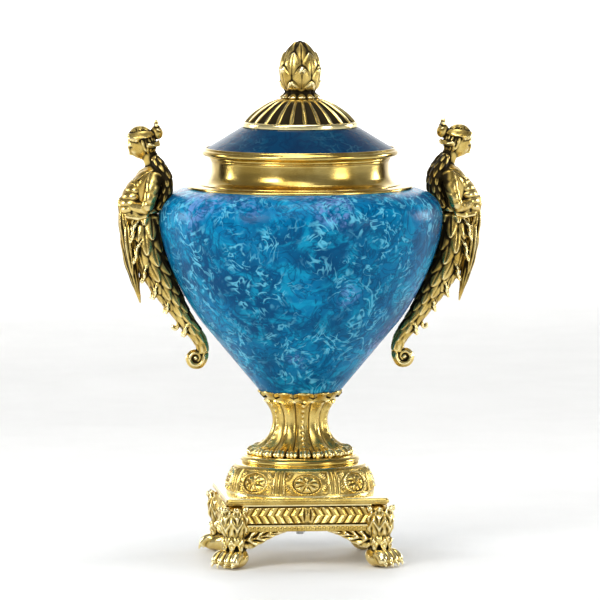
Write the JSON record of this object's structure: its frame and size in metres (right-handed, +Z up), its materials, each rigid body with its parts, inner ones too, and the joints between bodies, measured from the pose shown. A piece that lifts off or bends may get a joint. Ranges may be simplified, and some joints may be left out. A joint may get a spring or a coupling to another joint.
{
  "type": "covered two-handled urn",
  "caption": "Amphora-shaped covered urn: blue glazed body and domed lid in gilt mounts, half-figure handles, fluted stem and square footed plinth.",
  "frame": {"origin": "on the ground under the middle of the plinth", "axes": "+Z up along the vessel's axis, +X towards the right handle, -Y towards the front frieze"},
  "size_m": [0.2942, 0.225, 0.4118],
  "materials": {
    "blue_glaze": "high gloss, mottled",
    "gilt_cast": "cast and chased gilt, darkened in the recesses",
    "gilt_polished": "turned and burnished gilt",
    "steel": "plain",
    "cork": "cork"
  },
  "bodies": {
    "urn": {"base_drum": "gilt_cast", "base_ring": "gilt_polished", "foot_back_left": "gilt_cast", "foot_back_right": "gilt_cast", "foot_front_left": "gilt_cast", "foot_front_right": "gilt_cast", "foot_screws": "steel", "frieze_back": "gilt_cast", "frieze_front": "gilt_cast", "frieze_left": "gilt_cast", "frieze_right": "gilt_cast", "handle_cork_saddles": "cork", "handle_left_figure": "gilt_cast", "handle_left_sash": "gilt_cast", "handle_left_tail": "gilt_cast", "handle_nuts": "steel", "handle_right_figure": "gilt_cast", "handle_right_sash": "gilt_cast", "handle_right_tail": "gilt_cast", "handle_studs": "steel", "handle_washers": "steel", "neck_collar": "gilt_polished", "plinth_box": "gilt_cast", "plinth_plate": "gilt_polished", "rosette_1": "gilt_cast", "rosette_2": "gilt_cast", "rosette_3": "gilt_cast", "rosette_4": "gilt_cast", "rosette_5": "gilt_cast", "rosette_6": "gilt_cast", "rosette_7": "gilt_cast", "rosette_8": "gilt_cast", "stem_lower": "gilt_cast", "stem_upper": "gilt_cast", "tie_rod": "steel", "tie_rod_bottom_nut": "steel", "tie_rod_bottom_washer": "steel", "tie_rod_cork_washer": "cork", "tie_rod_top_nut": "steel", "tie_rod_top_washer": "steel", "vessel_belly": "blue_glaze", "vessel_cone": "blue_glaze", "vessel_cup": "gilt_cast", "vessel_floor": "blue_glaze", "vessel_neck": "blue_glaze", "vessel_shelf": "blue_glaze", "vessel_shoulder": "blue_glaze"},
    "lid": {"lid_cone": "blue_glaze", "lid_crown": "blue_glaze", "lid_rim": "gilt_polished", "lid_flange": "gilt_polished", "lid_cap": "gilt_cast", "finial": "gilt_cast", "finial_stud": "steel", "lid_washer": "steel", "lid_nut": "steel"}
  },
  "joints": [
    {"name": "lid_lift", "type": "slide", "parent": "urn", "child": "lid", "axis": [0, 0, 1], "range_m": [0, 0.07]}
  ]
}
